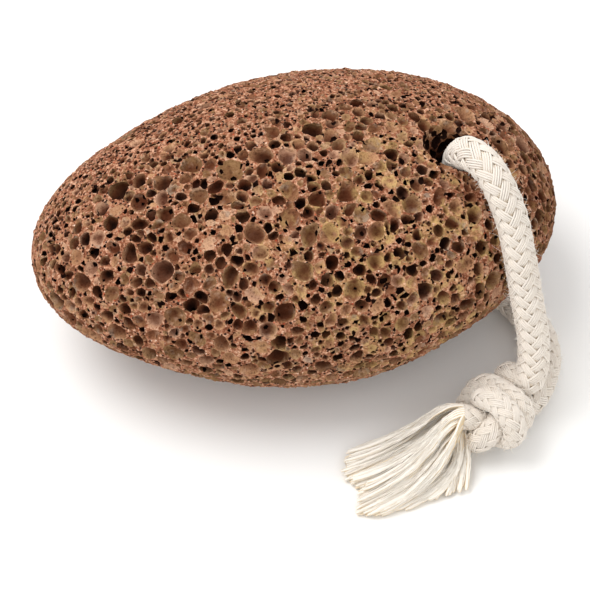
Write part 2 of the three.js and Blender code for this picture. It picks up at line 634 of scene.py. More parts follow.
    def _stamp(
        self,
        place: np.ndarray,
        middle: np.ndarray,
        radii: np.ndarray,
        turn: np.ndarray,
        reach: float,
        kind: Bubble,
    ) -> None:
        """Writes one bubble's wall into the block.

        Args:
            place: Where its middle lies.
            middle: Where its middle would lie, had the froth not moved.
            radii: Its three radii.
            turn: The matrix whose rows are its three axes.
            reach: How far outside its wall the distance is kept.
            kind: The kind of bubble.
        """
        low, pitch = np.array(self.block.low), self.block.pitch
        half = radii.max() + reach
        first = np.maximum(np.ceil((place - half - low) / pitch).astype(int), 0)
        last = np.minimum(np.floor((place + half - low) / pitch).astype(int) + 1, self.block.shape)
        part = tuple(slice(a, b) for a, b in zip(first, last))
        sides = np.ix_(*[low[k] + pitch * np.arange(first[k], last[k]) - middle[k] for k in range(3)])
        x, y, z = (side.astype(np.float32) + bend[part] for side, bend in zip(sides, self.bend))
        near, far = 0.0, 0.0
        for k in range(3):
            along = (turn[k, 0] * x + turn[k, 1] * y + turn[k, 2] * z) / radii[k]
            near = near + along**2
            far = far + (along / radii[k]) ** 2
        near, far = np.sqrt(near), np.sqrt(np.maximum(far, 1e-9))
        away = near * (near - 1) / far
        wall, owner, second = self.wall[part], self.owner[part], self.next_wall[part]
        closer = away < wall
        owner[closer] = len(self.middles)
        if kind is Bubble.PINHOLE:
            holes = self.holes[part]
            np.minimum(holes, away, out=holes)
        else:
            np.minimum(second, np.maximum(wall, away), out=second)
        wall[closer] = away[closer]

    def cavity(self) -> np.ndarray:
        """Works out the cavities, with the films between them left standing.

        Returns:
            The distance from the nearest cavity, negative in it, all over the block.
        """
        film = self.film * (1.0 + 0.6 * self.block.grain(self.film_steps, 7))
        filmed = np.maximum(self.wall, 0.5 * (film - (self.next_wall - self.wall)))
        return np.minimum(filmed, self.holes)

    def facing(self, bubble: np.ndarray, point: np.ndarray) -> np.ndarray:
        """Gives the stone's facing at points on bubble walls, towards each bubble's middle.

        Args:
            bubble: The number of each point's bubble.
            point: The points, in millimetres.

        Returns:
            Rows of unit vectors.
        """
        middles, radii, turns = (np.array(a)[bubble] for a in (self.middles, self.radii, self.turns))
        at = self.block.index(point)
        unbent = point + np.stack([bend[at] for bend in self.bend], 1)
        local = np.einsum("nij,nj->ni", turns, unbent - middles) / radii**2
        return -unit(np.einsum("nij,ni->nj", turns, local))

    def narrowness(self) -> np.ndarray:
        """Works out how narrow each cavity's mouth is: with the depth, how little light gets in.

        Returns:
            One over the radius of each bubble's mouth.
        """
        depths = np.array(self.depths)
        sizes = np.array([r.mean() for r in self.radii])
        narrow = 1 / np.sqrt(np.maximum(sizes**2 - depths**2, (0.3 * sizes) ** 2))
        pinhole = np.array([kind is Bubble.PINHOLE for kind in self.kinds])
        narrow[pinhole] = 2.4 / np.maximum(depths[pinhole], 0.4)
        return narrow


@dataclass
class FootStone:
    """The drilled pebble with its froth of cut bubbles, in millimetres.

    Attributes:
        block: The block it is worked out in.
        envelope: Its smooth outside.
        drilling: Its hole.
        most_triangles: How many triangles the mesh is thinned to.
        roughness: How rough its skin is.
        wobble: How rough its bubbles' walls are.
        hole_wobble: How rough the hole's wall is.
        hole_narrow: How little light gets into the hole, next to the bubbles.
    """

    block: Block = Block()
    envelope: Envelope = Envelope()
    drilling: Drilling = Drilling()
    most_triangles: int = 190000
    roughness: float = 0.24
    wobble: float = 0.21
    hole_wobble: float = 0.25
    hole_narrow: float = 0.22

    def build(self) -> Piece:
        """Makes the stone, dressed, in place.

        Returns:
            The stone.
        """
        shift = self.envelope.centre_shift()
        points = self.block.coarse_points()
        self.skin = self.block.refine(self.envelope.distance(points, shift), self.block.steps)
        self.hole = self.block.refine(self.drilling.distance(points), self.block.steps)
        self.froth = Froth(self.block, np.maximum(self.skin, -self.hole))
        self.froth.form()
        mesh = self._thinned(self._shell())
        self._mark(mesh)
        return place_piece(mesh, "lava_stone", LavaRock().make(), "stone")

    def _shell(self) -> Mesh:
        """Cuts the bubbles and the hole out of the pebble, and meshes what is left.

        Returns:
            The mesh, in metres.
        """
        grain = self.block.grain
        rough = grain(11, 2) * 0.7 + grain(4, 3) * 0.8 + grain(2, 4) * 0.7
        solid = self.skin + self.roughness * rough
        bent = grain(7, 5) * 0.7 + grain(3, 6) * 0.3
        np.maximum(solid, -(self.froth.cavity() + self.wobble * bent), out=solid)
        np.maximum(solid, -(self.hole + self.hole_wobble * bent), out=solid)
        height = self.block.low[2] + self.block.pitch * np.arange(self.block.shape[2])
        np.maximum(solid, -height.astype(np.float32)[None, None, :], out=solid)
        grid = openvdb.FloatGrid()
        grid.copyFromArray(solid)
        verts, _, quads = grid.convertToPolygons(isovalue=0.0, adaptivity=0.0)
        verts = (verts * self.block.pitch + np.array(self.block.low)) * MM
        mesh = bpy.data.meshes.new("lava_stone")
        mesh.vertices.add(len(verts))
        mesh.vertices.foreach_set("co", verts.astype(np.float32).ravel())
        mesh.loops.add(quads.size)
        mesh.loops.foreach_set("vertex_index", quads[:, ::-1].astype(np.int32).ravel())
        mesh.polygons.add(len(quads))
        mesh.polygons.foreach_set("loop_start", np.arange(0, quads.size, 4, dtype=np.int32))
        mesh.update(calc_edges=True)
        mesh.validate()
        return mesh

    def _thinned(self, mesh: Mesh) -> Mesh:
        """Cleans the shell, and thins it to as many triangles as it may have.

        Args:
            mesh: The shell, in small squares.

        Returns:
            The thinned mesh.
        """
        holder = bpy.data.objects.new("stone_in_the_making", mesh)
        bpy.context.scene.collection.objects.link(holder)
        self._keep_outer(holder)
        faces = len(holder.data.polygons)
        thin = holder.modifiers.new("thin", "DECIMATE")
        thin.ratio = min(1.0, self.most_triangles / (2 * faces))
        seen = holder.evaluated_get(bpy.context.evaluated_depsgraph_get())
        mesh = bpy.data.meshes.new_from_object(seen)
        bpy.data.objects.remove(holder)
        LOG.info("stone: %d squares thinned to %d faces", faces, len(mesh.polygons))
        return mesh

    def _keep_outer(self, holder: Piece) -> None:
        """Deletes crumbs and closed-in bubbles, which nothing joins to the outside.

        Args:
            holder: The object whose mesh is cleaned.
        """
        chosen = np.zeros(len(holder.data.vertices), bool)
        chosen[read(holder.data.vertices, "co")[:, 0].argmax()] = True
        for kind in (holder.data.vertices, holder.data.edges, holder.data.polygons):
            kind.foreach_set("select", np.zeros(len(kind), bool))
        holder.data.vertices.foreach_set("select", chosen)
        bpy.context.view_layer.objects.active = holder
        holder.select_set(True)
        bpy.ops.object.mode_set(mode="EDIT")
        bpy.ops.mesh.select_mode(type="VERT")
        bpy.ops.mesh.select_linked()
        bpy.ops.mesh.select_all(action="INVERT")
        bpy.ops.mesh.delete(type="VERT")
        bpy.ops.object.mode_set(mode="OBJECT")

    def _mark(self, mesh: Mesh) -> None:
        """Gives each face its cavity's marks, and each corner its cavity's smooth facing.

        Args:
            mesh: The stone's mesh.
        """
        centre, flat = read(mesh.polygons, "center") / MM, read(mesh.polygons, "normal")
        at = self.block.index(centre - 0.05 * flat)
        owner = self.froth.owner[at]
        skin, wall, hole = self.skin[at], -self.froth.wall[at], -self.hole[at]
        in_bubble = (wall > skin) & (wall > hole) & (owner >= 0)
        in_hole = ~in_bubble & (hole > skin)
        self._smooth(mesh, flat, np.where(in_bubble, owner, -1), in_hole)

        def marked(bubble: np.ndarray, drilled: float, outside: float) -> np.ndarray:
            """Picks a value for each face: its bubble's, the hole's or the skin's."""
            return np.where(in_bubble, bubble, np.where(in_hole, drilled, outside))

        owner = np.maximum(owner, 0)
        narrow = self.froth.narrowness()
        tints = np.random.default_rng(8).random(len(narrow))
        mark(mesh, "cave", marked(1.0, 0.6, 0.0))
        mark(mesh, "tint", marked(tints[owner], 0.5, 0.5))
        # narrow and deep drive the painted shade in the cavities and the hole
        mark(mesh, "narrow", marked(narrow[owner], self.hole_narrow, 0.0))
        deep = -self.skin[self.block.index(read(mesh.vertices, "co") / MM)]
        mark(mesh, "deep", np.maximum(deep, 0.0))

    def _smooth(self, mesh: Mesh, flat: np.ndarray, bubble: np.ndarray, in_hole: np.ndarray) -> None:
        """Turns each corner's facing to that of the true wall, where it is near enough.

        Args:
            mesh: The stone's mesh.
            flat: The facing of each face.
            bubble: The number of each face's bubble, or -1.
            in_hole: Which faces are the hole's.
        """
        place = read(mesh.vertices, "co") / MM
        place = place[read(mesh.loops, "vertex_index", 1, np.int32)[:, 0]]
        sides = read(mesh.polygons, "loop_total", 1, np.int32)[:, 0]
        face = np.repeat(np.arange(len(flat)), sides)
        bubble, in_hole, flat = bubble[face], in_hole[face], flat[face]
        smooth = self._slope(self.skin, place)
        smooth[in_hole] = -self._slope(self.hole, place[in_hole])
        inside = bubble >= 0
        smooth[inside] = self.froth.facing(bubble[inside], place[inside])
        smooth = unit(0.8 * smooth + 0.2 * flat)
        wrong = np.einsum("ij,ij->i", smooth, flat) < 0.45
        smooth[wrong] = flat[wrong]
        mesh.polygons.foreach_set("use_smooth", np.ones(len(sides), bool))
        mesh.normals_split_custom_set([tuple(n) for n in smooth.tolist()])

    def _slope(self, values: np.ndarray, point: np.ndarray) -> np.ndarray:
        """Works out which way a block of values rises fastest.

        Args:
            values: The values, all over the block.
            point: The points to look at.

        Returns:
            A unit vector for each point.
        """
        rise = []
        for k in range(3):
            step = np.zeros(3)
            step[k] = 0.8
            rise.append(values[self.block.index(point + step)] - values[self.block.index(point - step)])
        return unit(np.stack(rise, -1).astype(float))


@dataclass(frozen=True)
class LavaRock:
    """Red scoria, a basaltic froth reddened by rust, sawn and tumbled.

    The tumbled skin is dull and granular, pink-brown with dark and pale crumbs. The bubble walls are
    smoother and browner, with yellow and grey mineral blooms; painted shade turns them red-black where
    little light gets in, and dark spots of painted shade stand for the pores too fine to model.
    """

    skin: tuple[str, ...] = ("#3e1405", "#8c543b", "#bd8768", "#f2c9ad")
    wall: tuple[str, ...] = (
        "#94694a", "#b98b67", "#846043", "#ab7e5d", "#8f6c49", "#c3977a", "#85583e", "#a07c59",
    )  # fmt: skip
    worn: str = "#9b674b"
    crumb_dark: str = "#4f210a"
    crumb_pale: str = "#edc6a9"
    rust: str = "#b4482a"
    crystal: str = "#f0d3bc"
    ochre: str = "#c6a36c"
    ash: str = "#a29080"
    # the next two colours are also painted shade deep in the cavities
    soot_and_shade: str = "#51200b"
    dark: str = "#180501"
    # pore is the painted shade of the fine pores
    pore: str = "#230a03"
    rough: float = 0.85
    ior: float = 1.55
    specular: float = 0.1
    bloom_middle: Place = (18 * MM, -20 * MM, 36 * MM)
    bloom_reach: Place = (28 * MM, 20 * MM, 26 * MM)

    def make(self) -> Material:
        """Builds the material.

        Returns:
            The material.
        """
        material, tree = bare_material("tumbled_red_scoria")
        here = add(tree, "TexCoord").outputs["Object"]
        cave = add(tree, "Attribute", attribute_name="cave").outputs["Fac"]
        grain = add(tree, "TexNoise", {"Vector": here, "Scale": per(0.9), "Detail": 5.0, "Roughness": 0.7})
        fine = add(tree, "TexNoise", {"Vector": here, "Scale": per(0.28), "Detail": 2.0, "Roughness": 0.6})
        yellow = self._bloom(tree, here)
        skin = self._skin(tree, here, grain, yellow)
        wall = self._wall(tree, here, fine, yellow)
        colour = add(tree, "Mix", {0: cave, 6: skin, 7: wall}, **COLOURS)
        pores = self._pores(tree, here, cave)
        # painted shade: the fine pores are drawn as dark red-brown spots, for the shadow in holes too fine
        # to model
        colour = add(tree, "Mix", {0: pores, 6: colour, 7: linear(self.pore)}, **COLOURS)
        # painted shade, red-black deep behind the cavities' narrow mouths
        colour = self._shade(tree, colour)
        # the stone is coloured darker towards the end by the hole
        end = add(tree, "SeparateXYZ", {0: here}).outputs[0]
        colour = self._overlaid(tree, colour, end, (32 * MM, 50 * MM, 0.32), self.soot_and_shade)
        coarse = add(tree, "Math", {0: grain, 1: 0.5}, operation="MULTIPLY")
        height = add(tree, "Math", {0: fine, 1: 0.3, 2: coarse}, operation="MULTIPLY_ADD")
        height = add(tree, "Math", {0: pores, 1: -0.9, 2: height}, operation="MULTIPLY_ADD")
        amount = add(tree, "MapRange", {0: cave, 3: 1.0, 4: 0.4})
        height = add(tree, "Math", {0: height, 1: amount}, operation="MULTIPLY")
        bump = add(tree, "Bump", {"Height": height, "Distance": 0.35 * MM, "Strength": 0.9})
        links = {"Base Color": colour, "Roughness": self.rough, "IOR": self.ior, "Normal": bump}
        surface = add(tree, "BsdfPrincipled", links | {"Specular IOR Level": self.specular})
        add(tree, "OutputMaterial", {"Surface": surface})
        return material

    def _overlaid(self, tree: Tree, under: Node, where: object, span: Place, colour: str) -> Node:
        """Lays one colour over another where a pattern is strong.

        Args:
            tree: The material's node tree.
            under: The colour so far.
            where: The pattern.
            span: The pattern's value where the colour starts and where it is fullest, and its share there.
            colour: The colour laid on.

        Returns:
            The new colour.
        """
        start, full, most = span
        share = add(tree, "MapRange", {0: where, 1: start, 2: full, 4: most}, **SOFTLY)
        return add(tree, "Mix", {0: share, 6: under, 7: linear(colour)}, **COLOURS)

    def _skin(self, tree: Tree, here: object, grain: Node, yellow: Node) -> Node:
        """Colours the tumbled outside: granular, crumbed dark and pale, with rust and crystal specks.

        Args:
            tree: The material's node tree.
            here: The place on the stone.
            grain: The pattern of its grains.
            yellow: Where the yellow mineral lies.

        Returns:
            The colour.
        """
        stops = list(zip((0.28, 0.46, 0.58, 0.74), self.skin))
        skin = add(tree, "ValToRGB", {0: grain}, stops=stops)
        broad = add(tree, "TexNoise", {"Vector": here, "Scale": per(14), "Detail": 2.0})
        skin = self._overlaid(tree, skin, broad, (0.35, 0.70, 0.3), self.worn)
        crumb = add(tree, "TexNoise", {"Vector": here, "Scale": per(0.48), "Detail": 3.0, "Roughness": 0.6})
        skin = self._overlaid(tree, skin, crumb, (0.50, 0.36, 0.7), self.crumb_dark)
        skin = self._overlaid(tree, skin, crumb, (0.55, 0.68, 0.6), self.crumb_pale)
        specks = add(tree, "TexVoronoi", {"Vector": here, "Scale": per(0.85), "Randomness": 1.0})
        chance = add(tree, "SeparateColor", {0: specks.outputs["Color"]}).outputs
        dot = add(tree, "MapRange", {0: specks.outputs["Distance"], 1: 0.24, 2: 0.13, 4: 0.75}, **SOFTLY)
        rusty = add(tree, "Math", {0: chance[0], 1: 0.68}, operation="GREATER_THAN")
        clear = add(tree, "Math", {0: chance[0], 1: 0.18}, operation="LESS_THAN")
        for which, colour in ((rusty, self.rust), (clear, self.crystal)):
            share = add(tree, "Math", {0: dot, 1: which}, operation="MULTIPLY")
            skin = add(tree, "Mix", {0: share, 6: skin, 7: linear(colour)}, **COLOURS)
        share = add(tree, "Math", {0: yellow, 1: 0.35}, operation="MULTIPLY")
        return add(tree, "Mix", {0: share, 6: skin, 7: linear(self.ochre)}, **COLOURS)

    def _wall(self, tree: Tree, here: object, fine: Node, yellow: Node) -> Node:
        """Colours the bubble walls: a tint for each bubble, mottled, with the blooms on top.

        Args:
            tree: The material's node tree.
            here: The place on the stone.
            fine: The pattern of their fine grain.
            yellow: Where the yellow mineral lies.

        Returns:
            The colour.
        """
        tint = add(tree, "Attribute", attribute_name="tint").outputs["Fac"]
        stops = [(k / len(self.wall), colour) for k, colour in enumerate(self.wall)]
        wall = add(tree, "ValToRGB", {0: tint}, stops=stops)
        wall.color_ramp.interpolation = "CONSTANT"
        patch = add(tree, "TexNoise", {"Vector": here, "Scale": per(1.6), "Detail": 4.0, "Roughness": 0.6})
        wall = self._overlaid(tree, wall, patch, (0.46, 0.30, 0.4), self.soot_and_shade)
        wall = self._overlaid(tree, wall, patch, (0.52, 0.68, 0.35), self.crumb_pale)
        wall = add(tree, "Mix", {0: yellow, 6: wall, 7: linear(self.ochre)}, **COLOURS)
        ashy = add(tree, "TexNoise", {"Vector": here, "Scale": per(2.8), "Detail": 2.0})
        wall = self._overlaid(tree, wall, ashy, (0.60, 0.72, 0.6), self.ash)
        return self._overlaid(tree, wall, fine, (0.42, 0.72, 0.40), self.soot_and_shade)

    def _bloom(self, tree: Tree, here: object) -> Node:
        """Works out where the yellow mineral lies: in patches, most of them on the front shoulder.

        Args:
            tree: The material's node tree.
            here: The place on the stone.

        Returns:
            How much of it there is, from 0 to 1.
        """
        near = add(tree, "Mapping", {0: here}, vector_type="TEXTURE")
        near.inputs["Location"].default_value = self.bloom_middle
        near.inputs["Scale"].default_value = self.bloom_reach
        ball = add(tree, "VectorMath", {0: near}, operation="LENGTH").outputs["Value"]
        most = add(tree, "MapRange", {0: ball, 1: 0.5, 2: 1.5, 3: 0.9, 4: 0.08}, **SOFTLY)
        patch = add(tree, "TexNoise", {"Vector": here, "Scale": per(3.4), "Detail": 2.0})
        share = add(tree, "MapRange", {0: patch, 1: 0.48, 2: 0.62}, **SOFTLY)
        return add(tree, "Math", {0: share, 1: most}, operation="MULTIPLY")

    def _pores(self, tree: Tree, here: object, cave: object) -> Node:
        """Draws the open pores that are finer than the modelled bubbles, at their real size, as dark spots
        of painted shade.

        Args:
            tree: The material's node tree.
            here: The place on the stone.
            cave: Where a cavity is.

        Returns:
            Where a pore is, from 0 to 1.
        """
        cells = add(tree, "TexVoronoi", {"Vector": here, "Scale": per(0.62), "Randomness": 1.0})
        chance = add(tree, "SeparateColor", {0: cells.outputs["Color"]}).outputs
        width = add(tree, "MapRange", {0: chance[1], 3: 0.26, 4: 0.52})
        near = add(tree, "Math", {0: cells.outputs["Distance"], 1: width}, operation="DIVIDE")
        pore = add(tree, "MapRange", {0: near, 1: 1.15, 2: 0.75}, **SOFTLY)
        some = add(tree, "Math", {0: chance[0], 1: 0.42}, operation="LESS_THAN")
        pore = add(tree, "Math", {0: pore, 1: some}, operation="MULTIPLY")
        fewer = add(tree, "MapRange", {0: cave, 3: 0.95, 4: 0.4})
        return add(tree, "Math", {0: pore, 1: fewer}, operation="MULTIPLY")

    def _shade(self, tree: Tree, colour: Node) -> Node:
        """Paints shade on what lies deep behind a narrow mouth, where little light gets in.

        Args:
            tree: The material's node tree.
            colour: The colour so far.

        Returns:
            The colour, darkened.
        """
        deep = add(tree, "Attribute", attribute_name="deep").outputs["Fac"]
        narrow = add(tree, "Attribute", attribute_name="narrow").outputs["Fac"]
        enclosed = add(tree, "Math", {0: deep, 1: narrow}, operation="MULTIPLY")
        # painted shade: dark red-brown, then red-black, the deeper behind a narrower mouth
        colour = self._overlaid(tree, colour, enclosed, (0.12, 0.95, 0.85), self.soot_and_shade)
        return self._overlaid(tree, colour, enclosed, (0.65, 1.6, 0.97), self.dark)


# ---------------------------------------------------------------- the cord


ROUTE_MM = (
    (37.0, -35.8, 10.6), (38.0, -34.3, 12.4), (38.6, -32.5, 15.2), (38.7, -30.5, 18.6), (38.3, -28.5, 22.3),
    (37.8, -26.4, 26.2), (37.4, -24.3, 30.2), (36.9, -22.2, 34.1), (36.4, -19.9, 37.8), (35.6, -17.5, 41.2),
    (34.5, -14.9, 44.0), (33.2, -11.9, 45.8), (31.7, -8.9, 46.1), (30.7, -6.2, 44.5), (30.1, -4.2, 41.4),
    (30.0, -3.3, 37.6), (30.2, -3.1, 32.8), (31.0, -3.4, 26.0), (32.0, -3.9, 19.0), (33.2, -4.4, 12.8),
    (34.6, -5.1, 8.6), (36.4, -6.6, 5.5), (38.4, -8.8, 3.8), (40.9, -12.5, 3.1), (43.0, -17.0, 3.1),
    (44.0, -21.8, 3.1), (43.4, -26.4, 3.2), (41.5, -30.6, 3.6), (39.2, -34.2, 4.2), (37.2, -36.4, 4.6),
)  # fmt: skip


def run_along(path: np.ndarray) -> np.ndarray:
    """Gives how far along a path each of its points lies."""
    return np.concatenate([[0], np.cumsum(np.linalg.norm(np.diff(path, axis=0), axis=1))])


def even_steps(path: np.ndarray, step: float = 0.0, count: int = 0) -> np.ndarray:
    """Spaces points evenly along a path.

    Args:
        path: Rows of points.
        step: The spacing wanted, where count is 0.
        count: How many points are wanted.

    Returns:
        Rows of points.
    """
    run = run_along(path)
    count = count or int(round(run[-1] / step)) + 1
    at = np.linspace(0, run[-1], count)
    return np.stack([np.interp(at, run, column) for column in path.T], 1)


def through(points: np.ndarray, per_span: int = 16) -> np.ndarray:
    """Draws a smooth centripetal curve through a list of points.

    Args:
        points: Rows of points.
        per_span: Curve points for each stretch between two of them.

    Returns:
        Rows of curve points.
    """
    ends = np.vstack([2 * points[0] - points[1], points, 2 * points[-1] - points[-2]])
    out = []
    for p0, p1, p2, p3 in zip(ends, ends[1:], ends[2:], ends[3:]):
        g0, g1, g2 = (np.linalg.norm(b - a) ** 0.5 for a, b in ((p0, p1), (p1, p2), (p2, p3)))
        m1 = ((p1 - p0) / g0 - (p2 - p0) / (g0 + g1) + (p2 - p1) / g1) * g1
        m2 = ((p2 - p1) / g1 - (p3 - p1) / (g1 + g2) + (p3 - p2) / g2) * g1
        s = np.linspace(0, 1, per_span, endpoint=False)[:, None]
        out.append(p1 + m1 * s + (3 * (p2 - p1) - 2 * m1 - m2) * s**2 + (2 * (p1 - p2) + m1 + m2) * s**3)
    return np.vstack([*out, points[-1:]])


def carried_sides(path: np.ndarray) -> tuple[np.ndarray, np.ndarray]:
    """Carries two sideways directions along a path without twisting them.

    Args:
        path: Rows of points.

    Returns:
        Two lists of unit vectors across the path.
    """
    ahead = unit(np.gradient(path, axis=0))
    side = np.zeros_like(path)
    start = np.cross(ahead[0], (0.0, 0.0, 1.0))
    side[0] = start / np.linalg.norm(start)
    for k in range(1, len(path)):
        turned = side[k - 1] - ahead[k] * (side[k - 1] @ ahead[k])
        side[k] = turned / np.linalg.norm(turned)
    return side, np.cross(ahead, side)


def yarn_mesh(name: str, yarns: list[np.ndarray], radii: list[np.ndarray | float]) -> Mesh:
    """Sweeps a yarn along each line, with four sides that smooth shading rounds, as one mesh.

    Args:
        name: The mesh's name.
        yarns: Lines of points, in millimetres.
        radii: Each yarn's radius in millimetres, at each point or all along.

    Returns:
        The mesh, in metres.
    """
    curve = bpy.data.curves.new(name, "CURVE")
    curve.dimensions, curve.bevel_depth, curve.bevel_resolution = "3D", MM, 0
    curve.twist_mode, curve.use_fill_caps = "MINIMUM", True
    for line, radius in zip(yarns, radii):
        spline = curve.splines.new("POLY")
        spline.points.add(len(line) - 1)
        spline.points.foreach_set("co", np.c_[line * MM, np.ones(len(line))].ravel())
        spline.points.foreach_set("radius", np.broadcast_to(radius, len(line)).astype(np.float32).copy())
        spline.use_smooth = True
    holder = bpy.data.objects.new(name, curve)
    bpy.context.scene.collection.objects.link(holder)
    seen = holder.evaluated_get(bpy.context.evaluated_depsgraph_get())
    mesh = bpy.data.meshes.new_from_object(seen)
    bpy.data.objects.remove(holder)
    bpy.data.curves.remove(curve)
    return mesh


def rise_from(mesh: Mesh, axis: np.ndarray, low: float, high: float) -> np.ndarray:
    """Works out how far each point of a braid stands out from the cord's middle line.

    Args:
        mesh: The braid's mesh, in metres.
        axis: Points along the middle line, in millimetres.
        low: The radius that counts as 0, in millimetres.
        high: The radius that counts as 1.

    Returns:
        A number from 0 to 1 for each point.
    """
    parts = np.array_split(read(mesh.vertices, "co") / MM, 80)
    away = np.concatenate([np.linalg.norm(part[:, None] - axis[None], axis=-1).min(1) for part in parts])
    return np.clip((away - low) / (high - low), 0, 1)


@dataclass(frozen=True)
class Overhand:
    """The overhand knot that both ends of the cord are tied in, in millimetres.

    The two cords start side by side along a wide open knot. Their ends are then drawn to where the cord
    and the tassel are, while their length is taken up, until the wraps lie against each other.

    Attributes:
        middle: Its middle.
        pull: The direction in which it is drawn tight.
        turn: How far it is turned about that direction, in degrees.
        open_size: The size of the open knot.
        spacing: The distance between cords that touch, which is less than a slack cord's diameter.
        tied_length: The length of each cord in the tied knot.
        points: How many points lay out each cord.
        rounds: How many rounds draw it tight.
        closed_by: The share of the rounds after which its length is all taken up.
        entries: Where the two cords come in from the loop.
        entry_ways: The directions in which they come in.
        exits: Where the two cords go out.
        exit_ways: The directions in which they go out.
    """

    middle: Place = (30.2, -37.2, 7.8)
    pull: Place = (13.2, 3.6, 1.2)
    turn: float = 4.0
    open_size: float = 30.0
    spacing: float = 3.5
    tied_length: float = 44.0
    points: int = 64
    rounds: int = 700
    closed_by: float = 0.6
    entries: tuple[Place, ...] = ((37.0, -35.8, 10.6), (37.2, -36.4, 4.6))
    entry_ways: tuple[Place, ...] = ((-1.0, -1.5, -1.8), (-2.0, -2.2, 0.4))
    exits: tuple[Place, ...] = ((23.2, -39.2, 8.3), (22.9, -41.0, 4.2))
    exit_ways: tuple[Place, ...] = ((-1.0, -0.45, -0.25), (-1.0, -0.45, -0.10))

    def _open(self) -> np.ndarray:
        """Lays out both cords along a wide open overhand knot.

        Returns:
            The points of one cord and then of the other.
        """
        t = np.linspace(0.0, 2 * np.pi, 200)
        out = 2 + np.cos(3 * t)
        loop = np.stack([out * np.cos(2 * t), out * np.sin(2 * t), 1.2 * np.sin(3 * t)], 1)[5:-5]
        tail = np.array([[3.4, 6.5, 0], [4.2, 4.6, 0], [4.4, 3.0, 0.0], [4.1, 1.6, 0.0], [3.6, 0.75, 0.05]])
        line = np.concatenate([tail, loop, tail[::-1] * np.array([1, -1, -1])])
        line[:, 0] -= 1.0
        line[:, 2] *= -1
        line *= self.open_size / 6
        a = math.radians(self.turn)
        about = np.array([[math.cos(a), 0, math.sin(a)], [0, 1, 0], [-math.sin(a), 0, math.cos(a)]])
        line = line @ about.T
        for _ in range(30):
            line[1:-1] = 0.5 * line[1:-1] + 0.25 * (line[:-2] + line[2:])
        line = even_steps(line, count=self.points)
        along = unit(np.array(self.pull))
        up = unit(np.array([0, 0, 1.0]) - along * along[2])
        middle = np.array(self.middle) + np.array([0, 0, self.open_size * 0.25])
        line = middle + line[:, [1]] * along + line[:, [0]] * up + line[:, [2]] * np.cross(along, up)
        ahead = unit(np.gradient(line, axis=0))
        apart = np.zeros_like(line)
        apart[0] = unit(up - ahead[0] * (up @ ahead[0]))
        for k in range(1, len(line)):
            apart[k] = unit(apart[k - 1] - ahead[k] * (apart[k - 1] @ ahead[k]))
        apart *= self.spacing * 0.55
        return np.concatenate([line + apart, line - apart])

    def tie(self) -> np.ndarray:
        """Draws the knot tight.

        Returns:
            Two rows of points, one for each cord, from its entry to the tassel.
        """
        n, gap = self.points, self.spacing
        place = self._open()
        cord, number = np.repeat([0, 1], n), np.tile(np.arange(n), 2)
        one, other = np.triu_indices(2 * n, 1)
        same = cord[one] == cord[other]
        apart = np.abs(number[one] - number[other])
        loose = np.mean([np.linalg.norm(np.diff(c, axis=0), axis=1).sum() for c in (place[:n], place[n:])])
        starts = [(place[s * n].copy(), place[s * n + n - 1].copy()) for s in (0, 1)]
        for k in range(self.rounds):
            drawn = min(1.0, k / (self.rounds * self.closed_by))
            drawn = drawn * drawn * (3 - 2 * drawn)
            step = (loose + (self.tied_length - loose) * drawn) / (n - 1)
            near = ~(same & (apart < int(np.ceil(gap * 1.15 / step))))
            for s in (0, 1):
                first, last = s * n, s * n + n - 1
                place[first] = starts[s][0] + (np.array(self.entries[s]) - starts[s][0]) * drawn
                place[last] = starts[s][1] + (np.array(self.exits[s]) - starts[s][1]) * drawn
                if drawn > 0.7:
                    place[first + 1] = place[first] + unit(np.array(self.entry_ways[s])) * step
                    place[last - 1] = place[last] - unit(np.array(self.exit_ways[s])) * step
                run = place[first : last + 1]
                run[1:-1] += 0.12 * (0.5 * (run[:-2] + run[2:]) - run[1:-1])
            for _ in range(3):
                self._even_out(place, step)
                self._part(place, one[near], other[near])
        return place.reshape(2, n, 3)

    def _even_out(self, place: np.ndarray, step: float) -> None:
        """Draws neighbours on a cord to one step apart.

        Args:
            place: The points of both cords, changed in place.
            step: The distance between neighbours.
        """
        for s in (0, 1):
            run = place[s * self.points : (s + 1) * self.points]
            for first in (0, 1):
                a = np.arange(first, self.points - 1, 2)
                across = run[a + 1] - run[a]
                size = np.linalg.norm(across, axis=1, keepdims=True)
                move = (size - step) / np.maximum(size, 1e-9) * across * 0.5
                run[a] += move
                run[a + 1] -= move

    def _part(self, place: np.ndarray, one: np.ndarray, other: np.ndarray) -> None:
        """Pushes cords that lie in each other apart, and lifts them off the floor.

        Args:
            place: The points of both cords, changed in place.
            one: The first point of each pair that may touch.
            other: The second point of each pair.
        """
        across = place[other] - place[one]
        size = np.linalg.norm(across, axis=1)
        hit = size < self.spacing
        a, b, size = one[hit], other[hit], size[hit][:, None]
        move = across[hit] / np.maximum(size, 1e-6) * (self.spacing - size) * 0.5
        push, count = np.zeros_like(place), np.zeros(len(place))
        np.add.at(push, a, -move)
        np.add.at(push, b, move)
        np.add.at(count, a, 1)
        np.add.at(count, b, 1)
        place += push / np.maximum(count, 1)[:, None]
        place[:, 2] = np.maximum(place[:, 2], self.spacing * 0.5)


